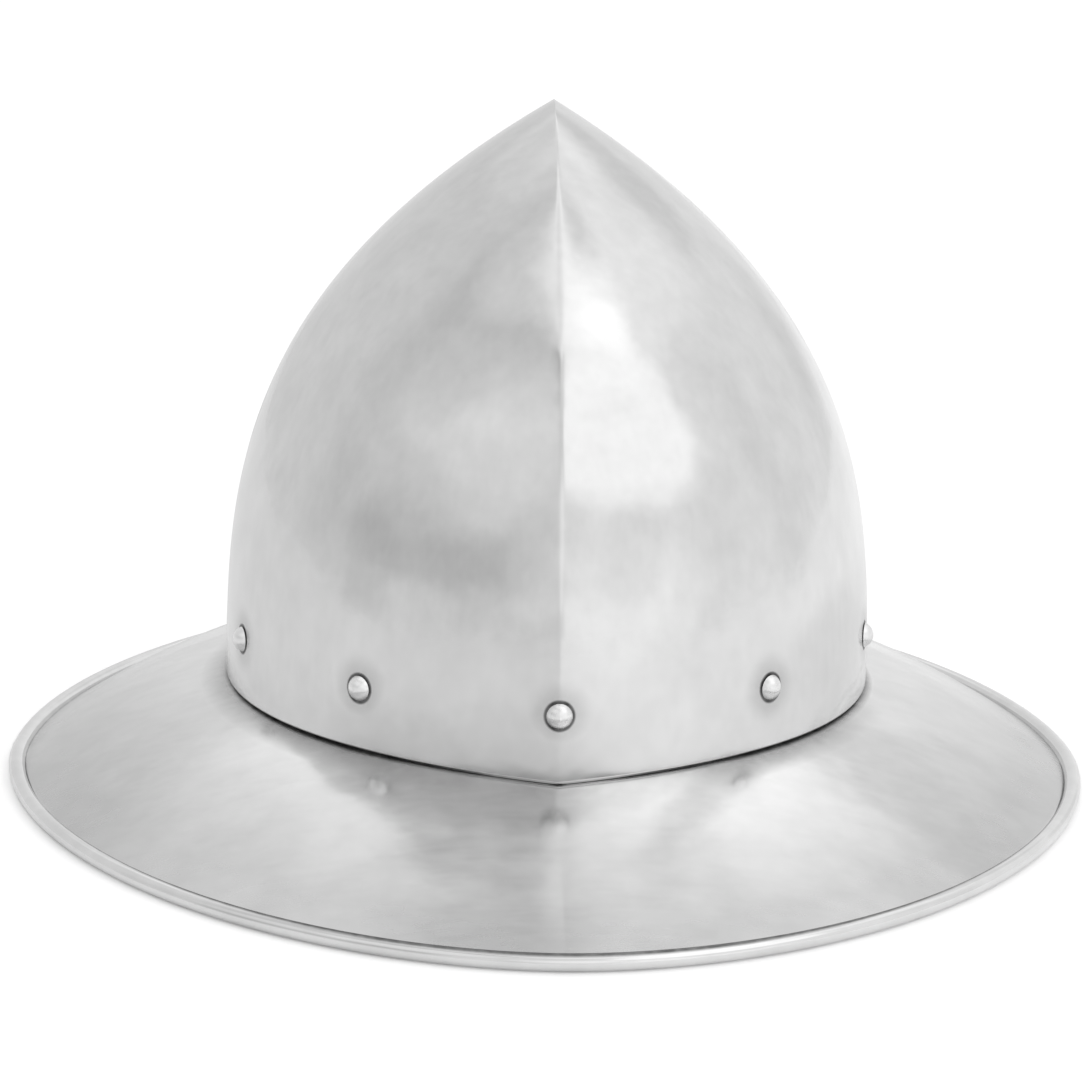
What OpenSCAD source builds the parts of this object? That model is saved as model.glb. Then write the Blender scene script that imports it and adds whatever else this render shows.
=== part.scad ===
// Kettle hat: a one-plate crown with a front-to-back ridge, riveted over the collar of
// a broad brim whose edge is rolled over a wire, with a leather liner and chin strap inside.
// Millimetres. +Z up, the front faces -Y. The origin is the middle of the rim, on the table.

/* [Crown] */
// Half the outside width of the crown at its lower edge
skull_half_w = 105; // [100:1:112]
// Half the outside length of the crown at its lower edge
skull_half_l = 122; // [116:1:126]
// How far each side's arc centre lies past the middle: more makes a sharper ridge
ridge_offset = 24; // [20:1:34]
// Height of the crown from its lower edge to its point
crown_h = 185; // [175:1:200]
// Power of the crown's front outline: more keeps the sides upright for longer
crown_power = 2.92; // [2.6:0.02:3.3]
// How far the point leans back from the middle of the crown
apex_back = 20; // [0:1:24]
// How far the lower edge dips where it meets the ridge
edge_dip = 2; // [0:0.1:4]
// Distance from the ridge at which that dip has run out
dip_span = 75; // [50:1:90]
// Thickness of the steel plate of the crown and the brim
plate_t = 1.5; // [1.2:0.1:2]

/* [Brim] */
// Height of the crown's lower edge above the underside of the rim
brim_drop = 32; // [24:1:42]
// Half the width of the rim, to the middle of its wire
rim_half_w = 173; // [160:0.5:185]
// Half the length of the rim, to the middle of its wire
rim_half_l = 201; // [188:1:212]
// Roundness of the rim's outline: 2 is an ellipse, less is more pointed
rim_power = 1.86; // [1.8:0.01:2.1]
// How far the crown sits behind the middle of the rim
skull_back = 6.5; // [0:0.5:8]
// Hollowness of the brim in front: 0 is a straight cone, more is steeper by the crown
front_dish = 0.45; // [0.2:0.05:0.8]
// The same at the back, where less than 0 swells the brim and makes it steeper by the rim
back_dish = -0.7; // [-0.8:0.05:0.4]
// Height of the collar that stands inside the crown
collar_h = 30; // [26:1:36]
// Radius of the bend between the collar and the brim
bend_r = 1.2; // [0.8:0.1:2.5]
// Diameter of the wire inside the rolled edge
wire_d = 2.2; // [1.8:0.1:3]

/* [Rivets] */
// Height of the rivets above the crown's lower edge
rivet_up = 19; // [15:1:21]
// Diameter of a rivet's shank
rivet_d = 4; // [3:0.5:5]
// Diameter of a rivet's domed head
head_d = 8; // [7:0.5:10]
// Height of that head
head_h = 2.8; // [2:0.1:3.5]
// Diameter of the washers inside
washer_d = 9; // [8:0.5:10]
// Thickness of the washers
washer_t = 1; // [0.8:0.1:1.5]
// How far the hand-marked rivets wander back on the right side, and half as far forward on
// the left, as a share of a half side
rivet_drift = 0.05; // [0:0.01:0.08]

/* [Liner] */
// Thickness of the leather band riveted inside the collar
band_t = 2; // [1.5:0.1:2.5]
// Height of the band
band_h = 38; // [36:1:42]
// Height of the band's lower edge above the crown's lower edge
band_up = 4; // [2:1:6]
// Thickness of the leather tongues
tongue_t = 1.8; // [1.4:0.1:2.2]
// Length of each tongue that is sewn flat to the band
tongue_lap = 14; // [10:1:15]
// Share of its pitch that a tongue fills where it is sewn
tongue_share = 0.86; // [0.7:0.01:0.92]
// Height of the liner's crown above the crown's lower edge
liner_h = 118; // [105:1:126]
// Radius of the leather patch that joins the tongues
patch_r = 26; // [24:1:30]
// Thickness of the patch
patch_t = 2; // [1.5:0.1:2.5]
// Diameter of the small rivets in the patch
pin_d = 3; // [2.5:0.1:3.5]
// Diameter of their heads
pin_head_d = 6; // [5:0.5:7]

/* [Chin strap] */
// Width of the straps
strap_w = 16; // [14:1:18]
// Thickness of the straps
strap_t = 2; // [1.6:0.1:2.2]
// How far a strap's end stands above its rivet
strap_end_up = 8; // [6:1:8]
// Radius in which a strap curves from the wall to the table
strap_bend_r = 38; // [32:1:38]
// Distance from the wall to the middle of the buckle's hinge bar
buckle_reach = 90; // [86:1:94]
// Length of the strap end that is folded back round the buckle and sewn
fold_len = 26; // [22:1:28]
// Radius of the outermost turn of the rolled long strap, at the middle of the leather
roll_r = 14; // [13:0.5:15]
// Turns in the roll
roll_turns = 3.2; // [2.8:0.1:3.4]
// Diameter of the buckle's wire
buckle_wire_d = 3; // [2.6:0.1:3.2]
// Length of the buckle frame between the middles of its bars
buckle_len = 17; // [15:1:19]
// Thickness of the keeper's leather
keeper_t = 1.2; // [1:0.1:1.3]
// Length of the keeper along the strap
keeper_len = 8; // [6:1:9]

/* [Hidden] */
$fn = 48;

// Steps and clearances
quarter_steps = 18;
loop_n = 4 * quarter_steps;
crown_rings = 20;
plate_gap = 0.15;
leather_gap = 0.3;
head_gap = 0.12;
hole_gap = 0.05;
wire_gap = 0.1;
rivet_gaps = 5;
tongue_n = 8;

// Plan of the crown
ridge_ratio = skull_half_w * (skull_half_w + 2 * ridge_offset);
stretch = skull_half_l / sqrt(ridge_ratio);
edge_z = brim_drop;
apex_slope = skull_half_w * crown_power / crown_h;
apex_wall = plate_t * sqrt(1 + apex_slope * apex_slope) / apex_slope;
lean_power = 1.5;

// Depths from the crown's outer face, going inwards
collar_in = plate_t + plate_gap;
band_in = collar_in + plate_t + plate_gap;
lining_in = band_in + band_t + leather_gap;

// Room that a flat piece of this half width needs to stand off the hollow, leaning wall
function seat_room(half) = half * half / (2 * skull_half_w) + leather_gap / 2;
washer_in = lining_in + seat_room(washer_d / 2);
strap_in = lining_in + seat_room(strap_w / 2);
strap_washer_in = strap_in + strap_t + leather_gap / 2;

// Heights
rivet_z = edge_z + rivet_up;
band_z = edge_z + band_up;
band_top = band_z + band_h;
liner_z = edge_z + liner_h;

// Rolled edge
roll_in = wire_d / 2 + wire_gap;
bead_r = roll_in + plate_t;

// Share of the way up the crown, and what follows from it
function rise(z) = max(0, (z - edge_z) / crown_h);
function half_w(z) = skull_half_w * (1 - pow(min(1, rise(z)), crown_power));
function side_slope(z) = apex_slope * pow(min(1, rise(z)), crown_power - 1);
function lean(z) = skull_back + apex_back * pow(min(1, rise(z)), lean_power);
function flat_wall(z, t) = t * sqrt(1 + pow(side_slope(z), 2));

// Half of a level section: f runs from -1 at the front ridge to 1 at the back ridge.
// An arc about a centre past the middle, stretched along Y, so two of them meet in a ridge.
function arc_factor(a) = sqrt(pow(stretch * cos(a), 2) + pow(sin(a), 2)) / stretch;
function arc_end(r) = acos(min(1, ridge_offset / r));
function section(f, w, inset) =
  let (r = w + ridge_offset, a_out = arc_end(r))
  let (r_in = r - inset * arc_factor(f * a_out))
  let (a = f * arc_end(r - inset * arc_factor(a_out)))
  [max(0, r_in * cos(a) - ridge_offset), stretch * r_in * sin(a)];

// Direction of the outward normal of that section, in degrees from +X
function normal_angle(f, w) =
  let (a = f * arc_end(w + ridge_offset))
  abs(f) > 0.999 ? 90 * sign(f) : atan2(sin(a) / stretch, cos(a));

// Steps round the whole plan: the right half from front to back, then the left half
function loop_f(i) = i <= 2 * quarter_steps ? i / quarter_steps - 1 : 3 - i / quarter_steps;
function loop_side(i) = i <= 2 * quarter_steps ? 1 : -1;
function plan_point(i, z, inset) =
  let (p = section(loop_f(i), half_w(z), inset))
  [loop_side(i) * p.x, p.y + lean(z)];
function dip(i) =
  edge_dip * pow(max(0, 1 - section(loop_f(i), skull_half_w, 0).x / dip_span), 2);

// Closed rings of points, joined side to side; each ring has the same count
function ring_faces(rings, n, closed) =
  [for (i = [0 : (closed ? rings : rings - 1) - 1], j = [0 : n - 1])
    let (a = i * n + j, b = i * n + (j + 1) % n, r = (i + 1) % rings)
    each [[a, b, r * n + j], [b, r * n + (j + 1) % n, r * n + j]]];
function flat_list(l) = [for (a = l) each a];

// A thin slab between two point grids of rows by cols, outer first
function slab_faces(rows, cols) =
  let (m = rows * cols)
  concat(
    [for (i = [0 : rows - 2], j = [0 : cols - 2])
      let (a = i * cols + j) each [[a, a + cols, a + 1], [a + 1, a + cols, a + cols + 1]]],
    [for (i = [0 : rows - 2], j = [0 : cols - 2])
      let (a = m + i * cols + j) each [[a, a + 1, a + cols], [a + 1, a + cols + 1, a + cols]]],
    [for (j = [0 : cols - 2]) each [[j, j + 1, m + j], [j + 1, m + j + 1, m + j]]],
    [for (j = [0 : cols - 2])
      let (a = (rows - 1) * cols + j) each [[a, m + a, a + 1], [a + 1, m + a, m + a + 1]]],
    [for (i = [0 : rows - 2])
      let (a = i * cols) each [[a, m + a, a + cols], [m + a, m + a + cols, a + cols]]],
    [for (i = [0 : rows - 2])
      let (a = i * cols + cols - 1) each [[a, a + cols, m + a], [m + a, a + cols, m + a + cols]]]);

// Where the rivets stand: k counts back from the front ridge on one side
function rivet_f(k, side) =
  2 * k / rivet_gaps - 1 + rivet_drift * (side > 0 ? 1 : -1 / 2) * sin(180 * k / rivet_gaps);
module at_wall(f, side, z) {
  p = section(f, half_w(z), 0);
  turn = normal_angle(f, half_w(z));
  translate([side * p.x, p.y + lean(z), z])
    rotate([0, 0, side > 0 ? 180 + turn : -turn])
      children();
}
strap_k = 2;
module at_rivets() {
  for (side = [-1, 1], k = [side > 0 ? 0 : 1 : side > 0 ? rivet_gaps : rivet_gaps - 1]) {
    $ridge = k == 0 || k == rivet_gaps;
    $strap = k == strap_k;
    at_wall(rivet_f(k, side), side, rivet_z) children();
  }
}
// At the ridge a flat washer spans the fold of the band, so it stands off a little
kink = 90 - abs(atan2(sin(arc_end(skull_half_w + ridge_offset)) / stretch,
  cos(arc_end(skull_half_w + ridge_offset))));
ridge_room = washer_d / 2 * tan(kink) + leather_gap;
function washer_at(ridge, strap) =
  strap ? strap_washer_in : washer_in + (ridge ? ridge_room : 0);
module rivet_holes() {
  reach = strap_washer_in + 2 * washer_t;
  at_rivets()
    translate([-reach, 0, 0])
      rotate([0, 90, 0])
        cylinder(r = rivet_d / 2 + hole_gap, h = 2 * reach + ridge_room);
}

// Crown: outer and inner skins of one plate, each ending in a point
module skull() {
  function z_out(i, k) =
    let (t = k / crown_rings) edge_z + t * crown_h - dip(i) * pow(1 - t, 4);
  function z_in(i, k) =
    let (t = k / crown_rings) edge_z + t * (crown_h - apex_wall) - dip(i) * pow(1 - t, 4);
  outer = [for (k = [crown_rings - 1 : -1 : 0], i = [0 : loop_n - 1])
    let (z = z_out(i, k)) concat(plan_point(i, z, 0), z)];
  inner = [for (k = [0 : crown_rings - 1], i = [0 : loop_n - 1])
    let (z = z_in(i, k)) concat(plan_point(i, z, flat_wall(z, plate_t)), z)];
  tip = edge_z + crown_h;
  rings = 2 * crown_rings;
  last = rings * loop_n;
  color("silver")
    difference() {
      polyhedron(
        points = concat(outer, inner, [[0, lean(tip), tip], [0, lean(tip - apex_wall), tip - apex_wall]]),
        faces = concat(
          ring_faces(rings, loop_n, false),
          [for (i = [0 : loop_n - 1]) [last, (i + 1) % loop_n, i]],
          [for (i = [0 : loop_n - 1])
            [last + 1, last - loop_n + i, last - loop_n + (i + 1) % loop_n]]));
      rivet_holes();
    }
}

// Rim outline, at the middle of its wire
function rim_point(i) =
  let (a = 90 * loop_f(i), e = 2 / rim_power)
  [loop_side(i) * rim_half_w * pow(abs(cos(a)), e), rim_half_l * sign(a) * pow(abs(sin(a)), e)];

// Profile of the brim plate at step i, as [distance out from the collar, height].
// side 0 is the face that meets the crown, side 1 the face turned to the head.
collar_rows = 2;
bend_steps = 3;
flare_steps = 8;
curl_steps = 10;
collar_lift = 0.3;
curl_end = 190;
function dish(i) = back_dish + (front_dish - back_dish) * pow((1 - loop_f(i)) / 2, 2);
function brim_profile(i, side, base, reach) =
  let (t = side * plate_t, z_bend = edge_z - dip(i) + collar_lift)
  let (mean = (z_bend - bead_r) / reach)
  let (s0 = atan((1 + dish(i)) * mean), s1 = atan((1 - dish(i)) * mean))
  let (start = [bend_r * (1 - sin(s0)), z_bend - bend_r * cos(s0)])
  let (finish = [reach - roll_in * sin(s1), bead_r - roll_in * cos(s1)])
  let (hand = (finish.x - start.x) / 3)
  let (h0 = start + hand * [1, -tan(s0)], h1 = finish - hand * [1, -tan(s1)])
  concat(
    [for (k = [1 : bend_steps])
      let (g = (90 - s0) * k / bend_steps)
      [bend_r - (bend_r + t) * cos(g), z_bend - (bend_r + t) * sin(g)]],
    [for (k = [1 : flare_steps - 1])
      let (u = k / flare_steps, v = 1 - u)
      let (p = v * v * v * start + 3 * v * v * u * h0 + 3 * v * u * u * h1 + u * u * u * finish)
      let (d = v * v * (h0 - start) + 2 * v * u * (h1 - h0) + u * u * (finish - h1))
      p + t * [d.y, -d.x] / norm(d)],
    [for (k = [0 : curl_steps])
      let (g = -90 - s1 + (curl_end + 90 + s1) * k / curl_steps)
      [reach + (roll_in + t) * cos(g), bead_r + (roll_in + t) * sin(g)]]);

// Brim: collar, bend, flare and the curl over the wire, one plate all round
module brim() {
  function side_points(i, side) =
    let (inset = collar_in + side * plate_t, z_low = edge_z - dip(i) + collar_lift)
    let (foot = plan_point(i, edge_z, inset), base = plan_point(i, edge_z, collar_in))
    let (way = rim_point(i) - base, reach = norm(way), out = way / reach)
    concat(
      [for (k = [0 : collar_rows])
        let (z = edge_z + collar_h + (z_low - edge_z - collar_h) * k / collar_rows)
        k == collar_rows ? [base.x - side * plate_t * out.x, base.y - side * plate_t * out.y, z]
          : concat(plan_point(i, z, inset), z)],
      [for (p = brim_profile(i, side, base, reach))
        [base.x + p.x * out.x, base.y + p.x * out.y, p.y]]);
  function reversed(l) = [for (k = [len(l) - 1 : -1 : 0]) l[k]];
  rings = [for (i = [0 : loop_n - 1]) concat(side_points(i, 0), reversed(side_points(i, 1)))];
  color("silver")
    difference() {
      polyhedron(points = flat_list(rings), faces = ring_faces(loop_n, len(rings[0]), true));
      rivet_holes();
    }
}

// Wire in the rolled edge, with its two ends butted at the back
wire_sides = 10;
wire_joint = 0.4;
module rim_wire() {
  function wire_point(i) =
    let (p = rim_point((i + 2 * quarter_steps) % loop_n))
    i == 0 ? [wire_joint / 2, rim_point(2 * quarter_steps).y]
      : i == loop_n ? [-wire_joint / 2, rim_point(2 * quarter_steps).y] : p;
  function along(i) = wire_point(min(loop_n, i + 1)) - wire_point(max(0, i - 1));
  rings = [for (i = [0 : loop_n])
    let (p = wire_point(i), d = along(i) / norm(along(i)))
    [for (k = [0 : wire_sides - 1])
      let (a = 360 * k / wire_sides, c = wire_d / 2 * cos(a))
      [p.x + c * d.y, p.y - c * d.x, bead_r + wire_d / 2 * sin(a)]]];
  last = loop_n * wire_sides;
  color("dimgray")
    polyhedron(
      points = flat_list(rings),
      faces = concat(
        ring_faces(loop_n + 1, wire_sides, false),
        [[for (k = [wire_sides - 1 : -1 : 0]) k]],
        [[for (k = [0 : wire_sides - 1]) last + k]]));
}

// A low dome on a flat foot, standing along +Z
module dome(d, h) {
  r = (d * d / 4 + h * h) / (2 * h);
  intersection() {
    translate([0, 0, h - r]) sphere(r = r);
    cylinder(d = 2 * d, h = 2 * h);
  }
}

// Rivets: domed head outside, shank through the plates, peened tail on the washer
tail_d = 1.7 * rivet_d;
tail_h = 1.2;
module skull_rivets() {
  color("gainsboro")
    at_rivets() {
      tail = washer_at($ridge, $strap) + washer_t + hole_gap;
      translate([-head_gap, 0, 0]) rotate([0, -90, 0]) dome(head_d, head_h);
      translate([-head_gap - head_h / 4, 0, 0])
        rotate([0, 90, 0])
          cylinder(d = rivet_d, h = tail + head_gap + head_h / 4 + tail_h / 4);
      translate([tail, 0, 0]) rotate([0, 90, 0]) dome(tail_d, tail_h);
    }
}

module rivet_washers() {
  color("darkgray")
    at_rivets()
      translate([washer_at($ridge, $strap), 0, 0])
        rotate([0, 90, 0])
          difference() {
            cylinder(d = washer_d, h = washer_t);
            translate([0, 0, -washer_t])
              cylinder(r = rivet_d / 2 + hole_gap, h = 3 * washer_t);
          }
}

// Leather band round the inside of the collar
module liner_band() {
  levels = [band_z, edge_z + collar_h / 2, edge_z + collar_h, band_top];
  rings = [for (i = [0 : loop_n - 1])
    concat(
      [for (k = [3 : -1 : 0]) concat(plan_point(i, levels[k], band_in), levels[k])],
      [for (k = [0 : 3]) concat(plan_point(i, levels[k], band_in + band_t), levels[k])])];
  color("saddlebrown")
    difference() {
      polyhedron(points = flat_list(rings), faces = ring_faces(loop_n, 8, true));
      rivet_holes();
    }
}

// One leather tongue: sewn to the band, then curving in and up to the patch
tongue_rows = 9;
tongue_cols = 5;
tip_r = 14;
tip_half_w = 4.4;
pin_r = 20;
tongue_low = band_top - tongue_lap;
function spread(u, z) =
  let (v = (u % 4 + 4) % 4, f = v <= 2 ? v - 1 : 3 - v)
  let (p = section(f, half_w(z), lining_in + tongue_t / 2))
  [(v <= 2 ? 1 : -1) * p.x, p.y + lean(z)];
function tongue_turn(k) = 360 * (k - 0.5) / tongue_n - 90;
function tongue_mid(k, q, v) =
  let (pitch = 4 / tongue_n, u = (k - 0.5) * pitch + v * pitch * tongue_share / 2)
  let (low = spread(u, band_top + min(0, q) * tongue_lap), turn = tongue_turn(k))
  let (s = 90 * max(0, q))
  let (tip = [tip_r * cos(turn) - v * tip_half_w * sin(turn),
    tip_r * sin(turn) + v * tip_half_w * cos(turn) + lean(liner_z)])
  let (p = tip + (low - tip) * cos(s))
  [p.x, p.y, band_top + (q < 0 ? q * tongue_lap : (liner_z - band_top) * sin(s))];
function tongue_out(k, q, v) =
  let (h = 0.01, up = tongue_mid(k, q + h, v) - tongue_mid(k, q - h, v))
  let (across = tongue_mid(k, q, v + h) - tongue_mid(k, q, v - h), n = cross(across, up))
  q >= 1 ? [0, 0, 1] : n / norm(n);
module liner_tongue(k) {
  rows = [for (i = [0 : tongue_rows]) i == 0 ? -1 : (i - 1) / (tongue_rows - 1)];
  cols = [for (j = [0 : tongue_cols - 1]) 2 * j / (tongue_cols - 1) - 1];
  outer = [for (q = rows, v = cols) tongue_mid(k, q, v) + tongue_t / 2 * tongue_out(k, q, v)];
  inner = [for (q = rows, v = cols) tongue_mid(k, q, v) - tongue_t / 2 * tongue_out(k, q, v)];
  color("peru")
    difference() {
      polyhedron(points = concat(outer, inner), faces = slab_faces(len(rows), len(cols)));
      crown_pin_at(k) cylinder(r = pin_d / 2 + hole_gap, h = 8 * tongue_t, center = true);
    }
}

module crown_pin_at(k) {
  translate([0, lean(liner_z), liner_z])
    rotate([0, 0, tongue_turn(k)])
      translate([pin_r, 0, 0])
        children();
}

// Leather patch that joins the tongues over the head
patch_z = tongue_t / 2 + leather_gap;
module crown_patch() {
  color("saddlebrown")
    difference() {
      translate([0, lean(liner_z), liner_z + patch_z]) cylinder(r = patch_r, h = patch_t);
      for (k = [1 : tongue_n])
        crown_pin_at(k) cylinder(r = pin_d / 2 + hole_gap, h = 8 * tongue_t, center = true);
    }
}

pin_head_h = 1.2;
pin_sag = 0.9;
module crown_rivets() {
  top = patch_z + patch_t + hole_gap;
  low = -tongue_t / 2 - pin_sag - hole_gap;
  color("goldenrod")
    for (k = [1 : tongue_n])
      crown_pin_at(k) {
        translate([0, 0, top]) dome(pin_head_d, pin_head_h);
        translate([0, 0, low]) mirror([0, 0, 1]) dome(pin_head_d, pin_head_h);
        translate([0, 0, low - pin_head_h / 4])
          cylinder(d = pin_d, h = top - low + pin_head_h / 2);
      }
}

// Chin strap. A strap's own frame: +X runs in from the wall, +Z is up from the table.
strap_mid = strap_in + strap_t / 2;
module strap_frame(side) {
  f = rivet_f(strap_k, side);
  at_wall(f, side, rivet_z) translate([0, 0, -rivet_z]) children();
}
bend_steps_strap = 12;
function strap_drop(z_lie) = concat(
  [[strap_mid, rivet_z + strap_end_up]],
  [for (k = [0 : bend_steps_strap])
    let (a = 180 + 90 * k / bend_steps_strap)
    [strap_mid + strap_bend_r * (1 + cos(a)), z_lie + strap_bend_r * (1 + sin(a))]]);

// Offsets a path of points to both sides, giving the outline of a strip of thickness t
function path_dir(p, i) =
  let (d = p[min(len(p) - 1, i + 1)] - p[max(0, i - 1)]) d / norm(d);
function strip(p, t) = concat(
  [for (i = [0 : len(p) - 1]) p[i] + t / 2 * [-path_dir(p, i).y, path_dir(p, i).x]],
  [for (i = [len(p) - 1 : -1 : 0]) p[i] - t / 2 * [-path_dir(p, i).y, path_dir(p, i).x]]);
module strap_strip(path, w, t) {
  translate([0, w / 2, 0])
    rotate([90, 0, 0])
      linear_extrude(height = w)
        polygon(strip(path, t));
}
module strap_rivet_hole() {
  translate([0, 0, rivet_z])
    rotate([0, 90, 0])
      cylinder(r = rivet_d / 2 + hole_gap, h = 2 * strap_washer_in);
}

// Short strap: lies on its keeper, folds back round the buckle's hinge bar
floor_gap = 0.4;
keeper_gap = 0.4;
bar_r = buckle_wire_d / 2;
bar_gap = 0.08;
short_z = floor_gap + keeper_t + keeper_gap + strap_t / 2;
fold_r = bar_r + bar_gap + strap_t / 2;
bar_x = buckle_reach;
bar_z = short_z + fold_r;
fold_steps = 12;
fold_top = short_z + strap_t + plate_gap;
prong_slot = 4;
slot_half = 7;
fold_slope = 9;
module chin_strap_short() {
  path = concat(
    strap_drop(short_z),
    [for (k = [0 : fold_steps])
      let (a = -90 + 180 * k / fold_steps)
      [bar_x + (fold_r - hole_gap) * cos(a), bar_z + (fold_r - hole_gap) * sin(a)]],
    [[bar_x - fold_slope / 3, bar_z + fold_r - 3 * hole_gap],
      [bar_x - fold_slope, fold_top + (bar_z + fold_r - fold_top) / 5],
      [bar_x - 4 * fold_slope / 3, fold_top],
      [bar_x - fold_len, fold_top]]);
  color("sienna")
    strap_frame(-1)
      difference() {
        strap_strip(path, strap_w, strap_t);
        strap_rivet_hole();
        translate([bar_x, 0, bar_z])
          rotate([90, 0, 0])
            cylinder(r = bar_r + bar_gap, h = 2 * strap_w, center = true);
        translate([bar_x - slot_half, -prong_slot / 2, 0])
          cube([2 * slot_half, prong_slot, 2 * bar_z + strap_t]);
      }
}

// Long strap: the same drop, then a short flat length and a loose roll
long_z = floor_gap + strap_t / 2;
roll_x = strap_mid + strap_bend_r + 18;
roll_pitch = strap_t + 0.5;
roll_step = 15;
punch_n = 5;
punch_pitch = 20;
punch_d = 3.4;
function roll_point(turn) =
  let (r = roll_r - roll_pitch * turn / 360)
  [roll_x + r * sin(turn), long_z + roll_r - r * cos(turn)];
module chin_strap_long() {
  end = 360 * roll_turns;
  path = concat(
    strap_drop(long_z),
    [for (turn = [0 : roll_step : end]) roll_point(turn)]);
  color("sienna")
    strap_frame(1)
      difference() {
        strap_strip(path, strap_w, strap_t);
        strap_rivet_hole();
        for (k = [1 : punch_n]) {
          turn = end - punch_pitch * k / (roll_r / 2) * 57.3 * 0.8;
          translate([roll_point(turn).x, 0, roll_point(turn).y])
            rotate([0, -turn, 0])
              cylinder(d = punch_d, h = strap_t + 0.4, center = true);
        }
      }
}

// Leather keeper that slides on the short strap
keeper_x = strap_mid + strap_bend_r + 5;
module strap_keeper() {
  inner_w = strap_w + 2 * keeper_gap;
  inner_h = 2 * strap_t + 2 * keeper_gap;
  color("sienna")
    strap_frame(-1)
      translate([keeper_x, 0, floor_gap])
        difference() {
          translate([0, -inner_w / 2 - keeper_t, 0])
            cube([keeper_len, inner_w + 2 * keeper_t, inner_h + 2 * keeper_t]);
          translate([-keeper_len, -inner_w / 2, keeper_t])
            cube([3 * keeper_len, inner_w, inner_h]);
        }
}

// Buckle: a wire frame on its hinge bar, tilted down until it nears the table
buckle_side = strap_w / 2 + 1 + bar_r;
buckle_tilt = asin((bar_z - bar_r - floor_gap - bar_gap) / buckle_len) * 0.9;
module buckle_place() {
  strap_frame(-1)
    translate([bar_x, 0, bar_z])
      rotate([0, buckle_tilt, 0])
        children();
}
module rod(a, b, r) {
  d = b - a;
  translate(a)
    rotate([0, acos(d.z / norm(d)), atan2(d.y, d.x)])
      cylinder(r = r, h = norm(d));
}
module buckle_frame() {
  corners = [[0, -buckle_side, 0], [buckle_len, -buckle_side, 0],
    [buckle_len, buckle_side, 0], [0, buckle_side, 0]];
  color("lightgray")
    buckle_place()
      union() {
        for (k = [0 : 3]) {
          rod(corners[k], corners[(k + 1) % 4], bar_r);
          translate(corners[k]) sphere(r = bar_r);
        }
      }
}

prong_w = 3;
prong_r = 0.9;
prong_over = 2;
prong_wall = 2;
module buckle_prong() {
  ring_r = bar_r + bar_gap + prong_wall;
  shaft_z = bar_r + 2 * bar_gap + prong_r + hole_gap / 2;
  length = buckle_len + prong_over;
  color("lightgray")
    buckle_place()
      difference() {
        union() {
          rotate([90, 0, 0]) cylinder(r = ring_r, h = prong_w, center = true);
          translate([0, 0, shaft_z])
            rotate([0, 90, 0])
              rotate_extrude()
                polygon([[0, 0], [prong_r, 0], [prong_r, length - prong_r], [prong_r / 2, length],
                  [0, length]]);
        }
        rotate([90, 0, 0]) cylinder(r = bar_r + bar_gap, h = 2 * prong_w, center = true);
      }
}

skull();
brim();
rim_wire();
skull_rivets();
rivet_washers();
liner_band();
liner_tongue(1);  // liner_tongue_1
liner_tongue(2);  // liner_tongue_2
liner_tongue(3);  // liner_tongue_3
liner_tongue(4);  // liner_tongue_4
liner_tongue(5);  // liner_tongue_5
liner_tongue(6);  // liner_tongue_6
liner_tongue(7);  // liner_tongue_7
liner_tongue(8);  // liner_tongue_8
crown_patch();
crown_rivets();
chin_strap_short();
chin_strap_long();
strap_keeper();
buckle_frame();
buckle_prong();
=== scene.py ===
import math

import bpy
import numpy as np
from mathutils import Matrix, Vector


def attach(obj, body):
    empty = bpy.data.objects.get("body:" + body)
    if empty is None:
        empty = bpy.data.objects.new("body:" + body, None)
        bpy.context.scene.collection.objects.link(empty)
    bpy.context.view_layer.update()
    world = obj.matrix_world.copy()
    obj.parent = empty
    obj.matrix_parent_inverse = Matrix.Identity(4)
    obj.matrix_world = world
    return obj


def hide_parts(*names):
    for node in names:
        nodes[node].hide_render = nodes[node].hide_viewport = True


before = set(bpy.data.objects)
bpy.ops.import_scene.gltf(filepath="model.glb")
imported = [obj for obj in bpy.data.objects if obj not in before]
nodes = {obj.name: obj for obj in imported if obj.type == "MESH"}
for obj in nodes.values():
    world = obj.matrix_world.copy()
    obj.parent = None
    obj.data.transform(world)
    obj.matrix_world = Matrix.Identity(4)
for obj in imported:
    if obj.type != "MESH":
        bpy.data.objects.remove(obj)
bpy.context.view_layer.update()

# The source's sizes, in millimetres and degrees
SKULL_W, SKULL_L, RIDGE, CROWN_H, POWER = 105.0, 122.0, 24.0, 185.0, 2.92
APEX_BACK, BACK, EDGE, PLATE, GAP = 20.0, 6.5, 32.0, 1.5, 0.15
EDGE_DIP, DIP_SPAN, DIP_FADE = 2.0, 75.0, 4
RIM_W, RIM_L, RIM_POWER, COLLAR_H = 173.0, 201.0, 1.86, 30.0
FRONT_DISH, BACK_DISH = 0.45, -0.7
BEND_R, LIFT, ROLL_IN, CURL_END = 1.2, 0.3, 1.2, 190.0
RIVET_UP, RIVET_DRIFT = 19.0, 0.05
BAND_T, BAND_H, BAND_UP = 2.0, 38.0, 4.0
TONGUE_T, LAP, SHARE, TONGUES = 1.8, 14.0, 0.86, 8
LEATHER_GAP, LINER_H, TIP_R, TIP_W = 0.3, 118.0, 14.0, 4.4
STRAP_T, STRAP_W, STRAP_BEND, END_UP = 2.0, 16.0, 38.0, 8.0
SHORT_LIE, BAR_X, FOLD_R, FOLD_SLACK = 3.0, 90.0, 2.53, 0.05
LONG_LIE, ROLL_AWAY, ROLL_R, ROLL_PITCH, ROLL_TURNS = 1.4, 18.0, 14.0, 2.5, 3.2
KEEPER_T, KEEPER_L, KEEPER_GAP, KEEPER_UP, KEEPER_PAST = 1.2, 8.0, 0.4, 0.4, 5.0

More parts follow.
